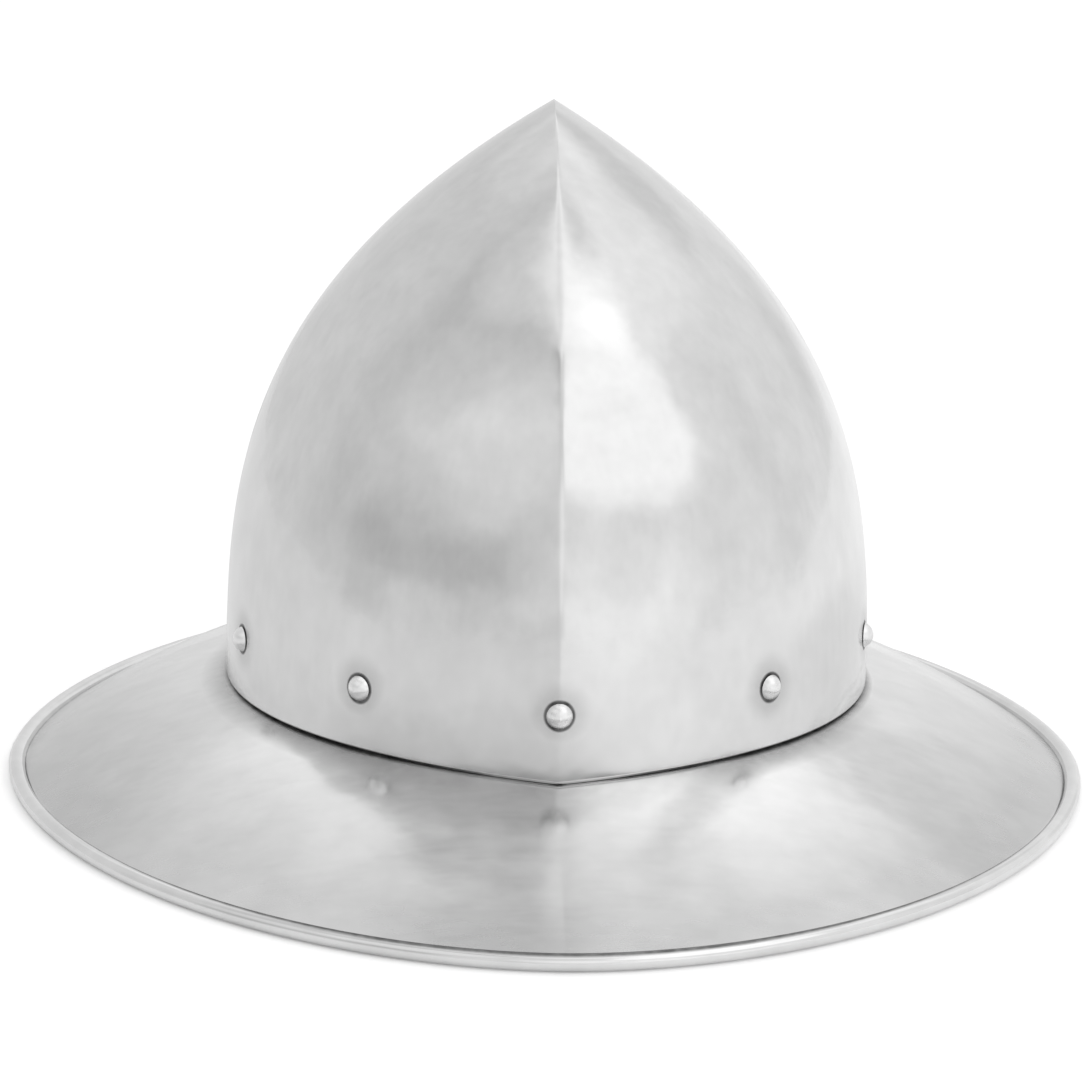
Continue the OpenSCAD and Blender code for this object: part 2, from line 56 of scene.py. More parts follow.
# Back from the hinge bar: where the folded strap dips, nears its other layer, meets it and ends
FOLD_BACK = (3, 9, 12, 26)

# The other strap's punched holes, from its free end
HOLES = (16, 30, 44, 58, 72)

# What follows from them
STRETCH = SKULL_L / math.sqrt(SKULL_W * (SKULL_W + 2 * RIDGE))
APEX_SLOPE = SKULL_W * POWER / CROWN_H
APEX_WALL = PLATE * math.sqrt(1 + APEX_SLOPE**2) / APEX_SLOPE
BEAD_R = ROLL_IN + PLATE
COLLAR_IN = PLATE + GAP
BAND_IN = COLLAR_IN + PLATE + GAP
LINING_IN = BAND_IN + BAND_T + LEATHER_GAP
BAND_Z = EDGE + BAND_UP
BAND_TOP = BAND_Z + BAND_H
LINER_Z = EDGE + LINER_H
RIVET_Z = EDGE + RIVET_UP
STRAP_MID = LINING_IN + (STRAP_W / 2) ** 2 / (2 * SKULL_W) + LEATHER_GAP / 2 + STRAP_T / 2

# Soft edges that only the visual model has
RIDGE_SOFT, BRIM_CORNER, BAND_CORNER, BAND_CUT = 0.7, 1.6, 1.5, 0.5
KEEPER_EDGE_R, KEEPER_TURN_R = 0.35, 1.5
CORNER_FROM, CORNER_IN = 0.55, 0.05
LEATHER_BULGE, STRAP_BULGE = 0.3, 0.35

# The half width below which the crown's soft fold shrinks
SOFT_FADE = 30.0

# The crown's lower edge, as (inset, height) points
LOWER_EDGE = ((0.0, 1.2), (0.0, 0.6), (0.0, 0.45), (0.13, 0.13),
              (0.45, 0.0), (1.05, 0.0), (1.37, 0.13), (1.5, 0.45))

# Sewing: the strand, the buckle's two seams, and a tongue's two, as shares of its lap and half width
THREAD_R, STITCH_HALF = 0.36, 1.5
BUCKLE_SEAMS, BUCKLE_SEAM_HALF = (66.5, 75.0), 5.6
TONGUE_SEAMS, TONGUE_SEAM_HALF = (-0.86, -0.14), 0.9

# How closely the grids are set. With CROWN_GRADE the crown's rows draw together towards its point
CROWN_STEPS, CROWN_ROWS, CROWN_GRADE = 110, 98, 1.35
BRIM_STEPS, COLLAR_ROWS, BEND_ROWS, FLARE_ROWS, CURL_ROWS = 120, 7, 8, 43, 24
LAP_ROWS, RISE_ROWS, TONGUE_COLS = 8, 45, 23
STRAP_STEP, RING_STEPS = 1.7, 6

# The band's steps round, and its inner rows as heights above its lower edge
BAND_STEPS, BAND_ROWS = 60, (30.0, 26.0, 11.0)

# Height of a point inside the liner, from which a tongue's outer side is told
INSIDE_Z = 70.0

# A millimetre in metres
MM = 0.001


def rise(z):
    """t = (z - edge) / height, kept to 0..1."""
    return np.clip((z - EDGE) / CROWN_H, 0.0, 1.0)


def half_w(z):
    """w = w0 (1 - t^p)."""
    return SKULL_W * (1 - rise(z) ** POWER)


def lean(z):
    """y0 = back + apex_back t^1.5."""
    return BACK + APEX_BACK * rise(z) ** 1.5


def flat_wall(z, t):
    """Level thickness t sqrt(1 + w'^2) of a plate on the crown's slope."""
    return t * np.sqrt(1 + (APEX_SLOPE * rise(z) ** (POWER - 1)) ** 2)


def arc_factor(a):
    """sqrt((s cos a)^2 + sin^2 a) / s turns a distance along the normal into one along the radius."""
    return np.sqrt((STRETCH * np.cos(a)) ** 2 + np.sin(a) ** 2) / STRETCH


def section(f, w, inset, soft=0.0):
    """x = sqrt((r cos a - d)^2 - soft^2), y = s r sin a, with a from front ridge (f = -1) to back ridge
    (f = 1). soft rounds the fold where the two halves meet."""
    r = w + RIDGE
    a_out = np.arccos(np.clip(RIDGE / r, -1, 1))
    r_in = r - inset * arc_factor(f * a_out)
    r_end = np.maximum(r - inset * arc_factor(a_out), 1e-6)
    a = f * np.arccos(np.clip((RIDGE + soft) / r_end, -1, 1))
    xe = np.maximum(r_in * np.cos(a) - RIDGE, 0)
    return np.sqrt(np.maximum(xe**2 - soft**2, 0)), STRETCH * r_in * np.sin(a)


def unit(v):
    """v / |v| along the last axis."""
    return v / (np.linalg.norm(v, axis=-1, keepdims=True) + 1e-12)


def ramp(value, none, full):
    """(value - none) / (full - none), kept to 0..1."""
    return np.clip((value - none) / (full - none), 0, 1)


def steps(first, last):
    """The whole numbers from first to last, as a column."""
    return np.arange(first, last + 1)[:, None]


def spaced(half, n):
    """n even places from -half to half."""
    return np.linspace(-half, half, n)


def graded(n, power):
    """f = sign(t) (1 - (1 - |t|)^power): steps that narrow towards both ridges."""
    t = spaced(1, n + 1)
    return np.sign(t) * (1 - (1 - np.abs(t)) ** power)


def round_trip(n, power=2.0):
    """f and side for the right half from front to back, then the left half back again."""
    f = graded(n, power)
    return np.concatenate([f, f[-2:0:-1]]), np.concatenate([np.ones(n + 1), -np.ones(n - 1)])


def plan(f, side, z, inset, soft=0.0):
    """A point of the crown's plan at height z, moved in by inset: the section there, set back by the lean."""
    w = half_w(z)
    x, y = section(f, w, inset, soft * np.clip(w / SOFT_FADE, 0, 1))
    return np.stack(np.broadcast_arrays(side * x, y + lean(z), z * 1.0), -1)


def dip_of(f):
    """edge_dip (1 - x / span)^2 near the ridges."""
    x, _ = section(f, SKULL_W, 0.0)
    return EDGE_DIP * np.maximum(0, 1 - x / DIP_SPAN) ** 2


def build(name, verts, quads, tris=(), sharp=35.0, body="helmet", painted=None):
    """A mesh object from millimetre points, its faces turned outwards by the sign of the volume a . (b x c),
    with edges sharper than sharp kept. painted holds named values of 0..1, one a point."""
    v = np.asarray(verts)
    quads = np.asarray(quads)
    tris = np.asarray(tris, int).reshape(-1, 3)
    mesh = bpy.data.meshes.new(name)
    mesh.from_pydata((v * MM).tolist(), [], quads.tolist() + tris.tolist())
    mesh.update()
    for key, value in (painted or {}).items():
        mesh.attributes.new(key, "FLOAT", "POINT").data.foreach_set("value", np.asarray(value, np.float32))
    mesh.validate()
    a, b, c = v[np.concatenate([quads[:, :3], quads[:, [0, 2, 3]], tris])].transpose(1, 0, 2)
    if (a * np.cross(b, c)).sum() < 0:
        mesh.flip_normals()
    mesh.shade_smooth()
    mesh.set_sharp_from_angle(angle=math.radians(sharp))
    obj = bpy.data.objects.new(name, mesh)
    bpy.context.scene.collection.objects.link(obj)
    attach(obj, body)
    return obj


def grid_quads(rows, cols, wrap_rows=False, wrap_cols=True):
    """Quads of a rows by cols point grid."""
    i = np.arange(rows if wrap_rows else rows - 1)[:, None]
    j = np.arange(cols if wrap_cols else cols - 1)[None, :]
    a, b = i * cols + j, i * cols + (j + 1) % cols
    c, d = ((i + 1) % rows) * cols + (j + 1) % cols, ((i + 1) % rows) * cols + j
    return np.stack([a, b, c, d], -1).reshape(-1, 4)


# Faint painted shade low on the crown's front: strength, the heights above the edge where it ends and is
# full, and its two sides
EDGE_SHADE, EDGE_SHADE_END, EDGE_SHADE_FULL = 0.16, 24, 8
EDGE_SHADE_LEFT, EDGE_SHADE_RIGHT = (-85, -55), (22, 0)


def crown_edge_shade(x, y, z):
    """Painted shade: strength times a ramp down to the edge, one in from the left and one in from the right,
    on the front only."""
    low = ramp(z, EDGE + EDGE_SHADE_END, EDGE + EDGE_SHADE_FULL)
    return EDGE_SHADE * low * ramp(x, *EDGE_SHADE_LEFT) * ramp(x, *EDGE_SHADE_RIGHT) * (y < 0)


def crown():
    """Grid of the plan at z = edge + t height, less the fold's dip, from the point down, then a rounded lower
    edge and the inner skin up to its own point, which is one plate's level thickness further in."""
    f, side = round_trip(CROWN_STEPS)
    fold = dip_of(f)
    t = (1 - np.linspace(0, 1, CROWN_ROWS + 2)[1:-1] ** CROWN_GRADE)[:, None]
    outer = plan(f, side, EDGE + t * CROWN_H - fold * (1 - t) ** DIP_FADE, 0.0, RIDGE_SOFT)
    into, up = np.array(LOWER_EDGE).T[:, :, None]
    lip = plan(f, side, EDGE - fold, into, RIDGE_SOFT)
    lip[..., 2] = EDGE - fold + up
    t = t[::-2]
    z = EDGE + t * (CROWN_H - APEX_WALL) - fold * (1 - t) ** DIP_FADE
    inner = plan(f, side, z, flat_wall(z, PLATE), RIDGE_SOFT)
    grid = np.concatenate([outer, lip, inner])
    n, m = grid.shape[:2]
    top = np.array([EDGE + CROWN_H, EDGE + CROWN_H - APEX_WALL])
    tips = np.stack([0 * top, lean(top), top], -1)
    j = np.arange(m)
    k = (j + 1) % m
    tris = np.concatenate([
        np.stack([np.full(m, n * m), k, j], -1),
        np.stack([np.full(m, n * m + 1), (n - 1) * m + j, (n - 1) * m + k], -1)])
    verts = np.vstack([grid.reshape(-1, 3), tips])
    # The crown's painted value is the painted shade low on its front
    return build("crown", verts, grid_quads(n, m), tris, 50.0, painted={"shade_and_dirt": crown_edge_shade(*verts.T)})


def brim_section(side, depth, reach, fold):
    """Profile of the plate in the plane out from the collar, as points of (out, z): a bend of radius BEND_R,
    a cubic Bezier flare whose slope goes from s0 to s1, and a curl of radius ROLL_IN. side 1 lies one plate
    below side 0."""
    t = side * PLATE
    z_bend = EDGE - fold + LIFT
    mean = (z_bend - BEAD_R) / reach
    s0, s1 = np.arctan((1 + depth) * mean), np.arctan((1 - depth) * mean)
    g = (math.pi / 2 - s0) * steps(1, BEND_ROWS) / BEND_ROWS
    bend = np.stack([BEND_R - (BEND_R + t) * np.cos(g), z_bend - (BEND_R + t) * np.sin(g)], -1)
    start = np.stack([BEND_R * (1 - np.sin(s0)), z_bend - BEND_R * np.cos(s0)], -1)
    finish = np.stack([reach - ROLL_IN * np.sin(s1), BEAD_R - ROLL_IN * np.cos(s1)], -1)
    hand = ((finish - start)[:, 0] / 3)[:, None]
    h0 = start + hand * np.stack([np.ones_like(s0), -np.tan(s0)], -1)
    h1 = finish - hand * np.stack([np.ones_like(s1), -np.tan(s1)], -1)
    u = steps(1, FLARE_ROWS)[:, :, None] / (FLARE_ROWS + 1)
    v = 1 - u
    p = v**3 * start + 3 * v * v * u * h0 + 3 * v * u * u * h1 + u**3 * finish
    d = v * v * (h0 - start) + 2 * v * u * (h1 - h0) + u * u * (finish - h1)
    d /= np.linalg.norm(d, axis=-1, keepdims=True)
    flare = p + t * np.stack([d[..., 1], -d[..., 0]], -1)
    g = -math.pi / 2 - s1 + (math.radians(CURL_END + 90) + s1) * steps(0, CURL_ROWS) / CURL_ROWS
    curl = np.stack([reach + (ROLL_IN + t) * np.cos(g), BEAD_R + (ROLL_IN + t) * np.sin(g)], -1)
    return np.concatenate([bend, flare, curl])


# Dirt and painted shade past the crown's edge: the rows it fades over, the most rows more at the sides, and
# from which x on
SEAM_ROWS, SEAM_MORE, SIDE_FULL = 2, 7, 60

# Painted shade on the flanks just under the crown's edge: strength, rows of the flare, the middle as turn,
# and how far from it they end and are full
FLANK_SHADE, FLANK_SHADE_ROWS = 0.5, 5
LEFT_TURN, LEFT_FADE = -0.3, (1.2, 0.2)
RIGHT_TURN, RIGHT_FADE = -0.55, (0.42, 0.12)

# A painted dark reflection on the brim by the front ridge: strength, its middle in x and in rows, and how far
# off it ends and is full
DARK_REFLECTION, DARK_REFLECTION_X, DARK_REFLECTION_ROW = 0.22, -22, 5.5
DARK_REFLECTION_X_FADE, DARK_REFLECTION_ROW_FADE = (36.4, 8.4), (6.5, 1.5)

# Painted shade on the roll, by degrees of curl: its ramp, how much earlier in front, and up to where it is
# paler there
LIP_FADE, LIP_EARLIER, LIP_PALER, PALER_TO = (170, 186), 118, 0.1, 150

# Painted shade towards the rim, on the flare, from none to full, in rows
OUTER_SHADE_FADE = (8, 34)


def brim_paint(x, turn, skin):
    """Painted shade with some dirt, and painted shade towards the rim, each of 0..1 on one skin. Row counts
    along the profile, and x in millimetres and turn, -1 at the front and 1 at the back, say where round the
    hat. Dirt and painted shade in the seam fade out past the crown's edge, further at the sides, with painted
    shade on the flanks just under that edge and a painted dark reflection by the front ridge. Painted shade
    fills the roll's groove and the inside of the roll, and creeps up the roll at the front. The painted shade
    towards the rim grows outwards. Each is ramps multiplied, or the larger of such, and front is -sin(turn pi
    / 2)."""
    row = steps(0, COLLAR_ROWS + BEND_ROWS + FLARE_ROWS + CURL_ROWS)
    flare_row = row - COLLAR_ROWS - BEND_ROWS
    curl_row = flare_row - FLARE_ROWS
    # Dirt and painted shade in the seam below the crown's edge, over more rows at the sides
    seam = ramp(row - COLLAR_ROWS - SEAM_MORE * ramp(np.abs(x), 0, SIDE_FULL), SEAM_ROWS, 0)
    # Painted shade on the flanks just under the crown's edge
    left = ramp(-x, 0, SIDE_FULL) * ramp(np.abs(turn - LEFT_TURN), *LEFT_FADE)
    right = ramp(x, 0, SIDE_FULL) * ramp(np.abs(turn - RIGHT_TURN), *RIGHT_FADE)
    # A painted dark reflection by the front ridge
    spot = ramp(np.abs(x - DARK_REFLECTION_X), *DARK_REFLECTION_X_FADE) * ramp(np.abs(flare_row - DARK_REFLECTION_ROW), *DARK_REFLECTION_ROW_FADE)
    near_shade = FLANK_SHADE * (left + right) * ramp(flare_row, FLANK_SHADE_ROWS, 0) + DARK_REFLECTION * (spot * (turn < 0))
    front = np.clip(-np.sin(math.pi / 2 * turn), 0, 1)
    # Painted shade in the roll's groove, creeping up the roll at the front, and all over the inside of the
    # roll
    rolled = -90 + (CURL_END + 90) * np.clip(curl_row / CURL_ROWS, 0, 1)
    lip = ramp(rolled + LIP_EARLIER * front, *LIP_FADE) * (1 - LIP_PALER * front * (rolled < PALER_TO))
    groove = np.maximum(lip, 1 - skin) * (curl_row >= 0)
    shade_and_dirt = np.maximum(np.maximum(seam, near_shade) * (1 - skin), groove)
    # Painted shade that grows towards the rim, off the roll
    outer_shade = ramp(flare_row, *OUTER_SHADE_FADE) * (curl_row < -1)
    return shade_and_dirt, outer_shade + 0 * x


def brim():
    """Collar inside the crown, bend, flare to the superellipse rim, and the curl over the wire, as one closed
    ring. Below the collar's middle each row slides over to the bend's own start."""
    f, side = round_trip(BRIM_STEPS)
    fold = dip_of(f)
    dish = BACK_DISH + (FRONT_DISH - BACK_DISH) * ((1 - f) / 2) ** 2
    a = np.radians(90 * f)
    e = 2 / RIM_POWER
    rim = np.stack([side * RIM_W * np.abs(np.cos(a)) ** e, RIM_L * np.sign(a) * np.abs(np.sin(a)) ** e], -1)
    base = plan(f, side, EDGE + 0 * f, COLLAR_IN, BRIM_CORNER)[:, :2]
    way = rim - base
    reach = np.linalg.norm(way, axis=1)
    out = way / reach[:, None]
    v = steps(0, COLLAR_ROWS - 1) / (COLLAR_ROWS - 1)
    z = EDGE + COLLAR_H + (LIFT - fold - COLLAR_H) * v
    skins, painted = [], []
    for skin in (0, 1):
        collar = plan(f, side, np.maximum(z, EDGE), COLLAR_IN + skin * PLATE, BRIM_CORNER)
        slide = np.maximum(0, v * 2 - 1)[..., None]
        collar[..., :2] += (base - skin * PLATE * out - collar[..., :2]) * slide
        collar[..., 2] = z
        c = brim_section(skin, dish, reach, fold)
        rest = np.concatenate([base + c[..., :1] * out, c[..., 1:]], -1)
        order = 1 - 2 * skin
        skins.append(np.concatenate([collar, rest])[::order])
        painted.append([x[::order] for x in brim_paint(base[:, 0], f, skin)])
    grid = np.concatenate(skins)
    # Painted shade with some dirt, and painted shade towards the rim, one value a point
    shade_and_dirt, outer_shade = (np.concatenate(x).ravel() for x in zip(*painted))
    return build("brim_plate", grid.reshape(-1, 3), grid_quads(*grid.shape[:2], True), sharp=40.0,
                 painted={"shade_and_dirt": shade_and_dirt, "outer_shade": outer_shade})


def band():
    """Leather ring that follows the collar: a profile of (inset, height) points with its four corners cut
    off, carried round the plan."""
    heights = [BAND_TOP - BAND_CUT, *(BAND_Z + up for up in BAND_ROWS), BAND_Z + BAND_CUT]
    profile = [(0.0, z) for z in heights]
    profile += [(BAND_CUT, BAND_Z), (BAND_T - BAND_CUT, BAND_Z)]
    profile += [(BAND_T, z) for z in reversed(heights)]
    profile += [(BAND_T - BAND_CUT, BAND_TOP), (BAND_CUT, BAND_TOP)]
    into, z = np.array(profile).T[:, :, None]
    f, side = round_trip(BAND_STEPS)
    grid = plan(f, side, z, BAND_IN + into, BAND_CORNER)
    return build("liner_ring", grid.reshape(-1, 3), grid_quads(*grid.shape[:2], True), sharp=60.0)


def slab(name, mid, normal, thick, mask=None, bulge=LEATHER_BULGE, **more):
    """Two skins at plus and minus thick / 2 along the normals of a grid of points. Each edge that only one
    kept cell uses gets a wall, whose middle row lies out by bulge along the sum of edge x normal of its
    edges."""
    n, m = mid.shape[:2]
    total = n * m
    keep = np.ones((n - 1, m - 1), bool) if mask is None else mask
    flat, nor = mid.reshape(-1, 3), normal.reshape(-1, 3)
    idx = np.arange(total).reshape(n, m)
    quads = np.stack([idx[:-1, :-1], idx[:-1, 1:], idx[1:, 1:], idx[1:, :-1]], -1)[keep]
    a, b = quads.ravel(), np.roll(quads, -1, axis=1).ravel()
    lone = ~np.isin(a * total + b, b * total + a)
    a, b = a[lone], b[lone]
    out = unit(np.cross(flat[b] - flat[a], nor[a]))
    away = np.zeros_like(flat)
    np.add.at(away, a, out)
    np.add.at(away, b, out)
    rim, place = np.unique(np.stack([a, b]), return_inverse=True)
    c, d = 2 * total + place.reshape(2, -1)
    faces = np.concatenate([quads, quads[:, ::-1] + total, np.stack([b, a, c, d], -1),
                            np.stack([d, c, a + total, b + total], -1)])
    skins = [flat + nor * thick / 2, flat - nor * thick / 2]
    verts = np.vstack([*skins, flat[rim] + bulge * unit(away[rim])])
    used, faces = np.unique(faces, return_inverse=True)
    return build(name, verts[used], faces.reshape(-1, 4), sharp=60.0, **more)


def normals_of(mid, outward):
    """Cross product of the grid's two directions, turned towards outward."""
    n = unit(np.cross(np.gradient(mid, axis=0), np.gradient(mid, axis=1)))
    return n * np.sign((n * outward).sum(-1, keepdims=True) + 1e-12)


def stitches(at, along, up):
    """Rows of nine numbers: where a stitch is, which way it runs and which way it stands out."""
    return np.concatenate(np.broadcast_arrays(at, along, up), -1).reshape(-1, 9)


def tongue_grid(k, q, v):
    """Sewn flat to the band below q = 0, then p = tip + (low - tip) cos s, z = top + rise sin s."""
    pitch = 4 / TONGUES
    u = ((k - 0.5) * pitch + v * pitch * SHARE / 2) % 4
    z = BAND_TOP + np.minimum(0, q) * LAP
    f = np.where(u <= 2, u - 1, 3 - u)
    x, y = section(f, half_w(z), LINING_IN + TONGUE_T / 2)
    x, y = np.where(u <= 2, 1, -1) * x, y + lean(z)
    turn = math.radians(360 * (k - 0.5) / TONGUES - 90)
    tx = TIP_R * math.cos(turn) - v * TIP_W * math.sin(turn)
    ty = TIP_R * math.sin(turn) + v * TIP_W * math.cos(turn) + lean(LINER_Z)
    s = np.pi / 2 * np.maximum(0, q)
    up = np.where(q < 0, q * LAP, (LINER_Z - BAND_TOP) * np.sin(s))
    return np.stack([tx + (x - tx) * np.cos(s), ty + (y - ty) * np.cos(s), BAND_TOP + up], -1)


def tongue(k):
    """One leather tongue, a twentieth narrower at its lower edge, and two rows of stitches on the sewn part.
    The tongue's grid is given thickness along its normals."""
    q = np.concatenate([np.linspace(-1, 0, LAP_ROWS + 1)[:-1], np.linspace(0, 1, RISE_ROWS)])
    qq, vv = np.meshgrid(q, spaced(1, TONGUE_COLS), indexing="ij")
    mid = tongue_grid(k, qq, vv * (1 - CORNER_IN * ramp(-qq, CORNER_FROM, 1) ** 2))
    centre = np.array([0, lean(LINER_Z) / 2, INSIDE_Z])
    nor = normals_of(mid, mid - centre)
    nor[-1] = (0, 0, 1)
    obj = slab("tongue_%d" % k, mid, nor, TONGUE_T)
    level, place = np.meshgrid(TONGUE_SEAMS, spaced(TONGUE_SEAM_HALF, 13), indexing="ij")
    p = tongue_grid(k, level, place)
    along = unit(np.gradient(p, axis=1))
    inward = np.cross(along, (0, 0, 1.0))
    inward *= np.sign((inward * (centre - p)).sum(-1, keepdims=True))
    return obj, stitches(p + inward * TONGUE_T / 2, along, inward)


def rivet_f(k, side):
    """f of rivet k, counted back from the front ridge: even steps, with a small drift at the sides."""
    return 2 * k / 5 - 1 + RIVET_DRIFT * (1 if side > 0 else -0.5) * math.sin(math.radians(180 * k / 5))


def rivet_places():
    """Where the rivets' heads meet the crown's outer face."""
    spots = [(k, 1) for k in range(6)] + [(k, -1) for k in range(1, 5)]
    return [plan(np.array(rivet_f(k, side)), side, np.array(RIVET_Z), 0.0) for k, side in spots]


def strap_point(side, x, y, z):
    """From a strap's own frame, x in from the wall and z up from the table, to the part's."""
    f = rivet_f(2, side)
    w = half_w(np.array(RIVET_Z))
    px, py = section(np.array(f), w, 0.0)
    a = f * math.acos(RIDGE / (w + RIDGE))
    turn = math.atan2(math.sin(a) / STRETCH, math.cos(a))
    ang = math.pi + turn if side > 0 else -turn
    c, s = math.cos(ang), math.sin(ang)
    return np.stack([side * px + c * x - s * y, py + lean(np.array(RIVET_Z)) + s * x + c * y, z], -1)


def resample(path, step):
    """Points at equal steps along a polyline."""
    p = np.asarray(path, float)
    s = np.concatenate([[0], np.cumsum(np.linalg.norm(np.diff(p, axis=0), axis=1))])
    at = np.linspace(0, s[-1], int(round(s[-1] / step)) + 1)
    return np.stack([np.interp(at, s, p[:, 0]), np.interp(at, s, p[:, 1])], -1)


def drop(z_lie):
    """Down the wall, then a quarter turn of radius STRAP_BEND to lie at z_lie, as (x, z) points."""
    arc = np.radians(np.linspace(180, 270, 60))
    turn = np.stack([STRAP_MID + STRAP_BEND * (1 + np.cos(arc)), z_lie + STRAP_BEND * (1 + np.sin(arc))], -1)
    return np.vstack([[STRAP_MID, RIVET_Z + END_UP], turn])


def across(*half):
    """Places across a strap: the middle, and the given ones to both sides."""
    half = np.array(half, float)
    return np.concatenate([-half[::-1], [0.0], half])


def strap(name, side, path, ys, cut=None, holes=()):
    """A flat strap: points of the path carried across by ys. The slot past cut is left-out cells, and a round
    hole is a left-out block of two by two cells whose corners snap to its circle."""
    p = resample(path, STRAP_STEP)
    d = unit(np.gradient(p, axis=0))
    up = np.stack([-d[:, 1], d[:, 0]], -1)
    yy = np.repeat(ys[None, :], len(p), axis=0)
    along = yy * 0.0
    mask = np.ones((len(p) - 1, len(ys) - 1), bool)
    middle = int(np.argmin(np.abs(ys)))
    if cut is not None:
        past = (p[:-1, 0] + p[1:, 0]) / 2 > cut
        mask[np.ix_(past, [middle - 1, middle])] = False
    at = len(p) - 1 - np.round(np.asarray(holes, float) / STRAP_STEP).astype(int)
    snap = math.sqrt(0.5)
    for i in (-1, 1):
        for j in (-1, 1):
            mask[at + min(i, 0), middle + min(j, 0)] = False
            along[at + i, middle + j] = -i * STRAP_STEP * (1 - snap)
            yy[at + i, middle + j] = j * STRAP_STEP * snap
    x = p[:, :1] + along * d[:, :1]
    z = p[:, 1:] + along * d[:, 1:]
    grid = strap_point(side, x, yy, z)
    zero = strap_point(side, 0.0, 0.0, 0.0)
    nor = strap_point(side, up[:, :1] + 0 * yy, 0 * yy, up[:, 1:] + 0 * yy) - zero
    return slab(name, grid, nor, STRAP_T, mask, STRAP_BULGE)


def short_strap():
    """The buckle's strap: down the wall, along, a half turn of radius FOLD_R round the hinge bar and back on
    itself, and two rows of stitches through both layers, above and below."""
    bar_z = SHORT_LIE + FOLD_R + FOLD_SLACK
    top = SHORT_LIE + STRAP_T + GAP
    turn = np.radians(np.linspace(-90, 90, 24))
    fold = np.stack([BAR_X + FOLD_R * np.cos(turn), bar_z + FOLD_R * np.sin(turn)], -1)
    sink = top + (bar_z + FOLD_R + FOLD_SLACK - top) / 5
    back = np.stack([BAR_X - np.array(FOLD_BACK), [bar_z + FOLD_R - 0.1, sink, top, top]], -1)
    path = np.vstack([drop(SHORT_LIE), fold, back])
    obj = strap("strap_with_buckle", -1, path, across(2, 3.5, 5, 6.5, 8), cut=BAR_X - 7)
    x, y, up = np.meshgrid(BUCKLE_SEAMS, spaced(BUCKLE_SEAM_HALF, 4), (1.0, -1.0), indexing="ij")
    z = np.where(up > 0, top, SHORT_LIE) + up
    at = strap_point(-1, x, y, z)
    along = strap_point(-1, x, y + 1.0, z) - at
    return obj, stitches(at, along, up[..., None] * (0, 0, 1.0))


def long_strap():
    """The strap with holes: down the wall, along, and loosely rolled: r = r0 - pitch turns."""
    centre = STRAP_MID + STRAP_BEND + ROLL_AWAY
    a = np.radians(np.arange(0, 360 * ROLL_TURNS + 1, 5))
    r = ROLL_R - ROLL_PITCH * a / (2 * math.pi)
    roll = np.stack([centre + r * np.sin(a), LONG_LIE + ROLL_R - r * np.cos(a)], -1)
    ys = across(STRAP_STEP, 2 * STRAP_STEP, 5, 6.6, 8)
    return strap("strap_with_holes", 1, np.vstack([drop(LONG_LIE), roll]), ys, holes=HOLES)


def rounded(n, half_x, half_y, r):
    """Round a rectangle in n steps: centre of the nearest corner's arc plus r (cos a, sin a). Gives that
    centre and the arc's direction."""
    a = 2 * math.pi * (np.arange(n) + 0.5) / n
    way = np.stack([np.cos(a), np.sin(a)], -1)
    return np.sign(way) * (half_x - r, half_y - r), way


def keeper():
    """The strap's leather loop: a rounded rectangle as profile, carried round a rounded rectangle as path."""
    spot, way = rounded(16, KEEPER_L / 2, KEEPER_T / 2, KEEPER_EDGE_R)
    x, t = (spot + KEEPER_EDGE_R * way).T[:, :, None]
    clear = KEEPER_GAP + KEEPER_T / 2
    corner, out = rounded(36, STRAP_W / 2 + clear, STRAP_T + clear, KEEPER_TURN_R)
    yz = corner + (KEEPER_TURN_R + t)[..., None] * out
    x = STRAP_MID + STRAP_BEND + KEEPER_PAST + KEEPER_L / 2 + x + 0 * yz[..., 0]
    z = KEEPER_UP + KEEPER_T + KEEPER_GAP + STRAP_T + yz[..., 1]
    grid = strap_point(-1, x, yz[..., 0], z)
    quads = grid_quads(*grid.shape[:2], True)
    return build("keeper_loop", grid.reshape(-1, 3), quads, sharp=60.0, body="keeper")


def sewing(rows):
    """Each stitch is a short arched strand, closed at both ends: a ring of radius
    r = thread sqrt(max(0.1, 1 - 0.75 s^2)) round centre + s half along + (0.28 - 0.5 s^2) up, with s from -1
    to 1."""
    centre, along, up = (x[:, None, None] for x in np.split(rows, 3, axis=1))
    along, up = unit(along), unit(up)
    s = spaced(1, RING_STEPS)[:, None, None]
    a = np.linspace(0, 2 * math.pi, RING_STEPS + 1)[:-1, None]
    r = THREAD_R * np.sqrt(np.maximum(0.1, 1 - 0.75 * s * s))
    ring = np.cos(a) * up + np.sin(a) * np.cross(along, up)
    verts = centre + along * s * STITCH_HALF + up * (0.28 - 0.5 * s * s) + r * ring
    first = RING_STEPS**2 * np.arange(len(rows))[:, None]
    quads = (first[:, :, None] + grid_quads(RING_STEPS, RING_STEPS)).reshape(-1, 4)
    end = np.arange(RING_STEPS)
    caps = np.concatenate([first + end, first + RING_STEPS * (RING_STEPS - 1) + end[::-1]])
    mesh = bpy.data.meshes.new("sewing")
    mesh.from_pydata((verts.reshape(-1, 3) * MM).tolist(), [], quads.tolist() + caps.tolist())
    mesh.update()
    mesh.shade_smooth()
    obj = bpy.data.objects.new("sewing", mesh)
    bpy.context.scene.collection.objects.link(obj)
    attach(obj, "helmet")
    return obj


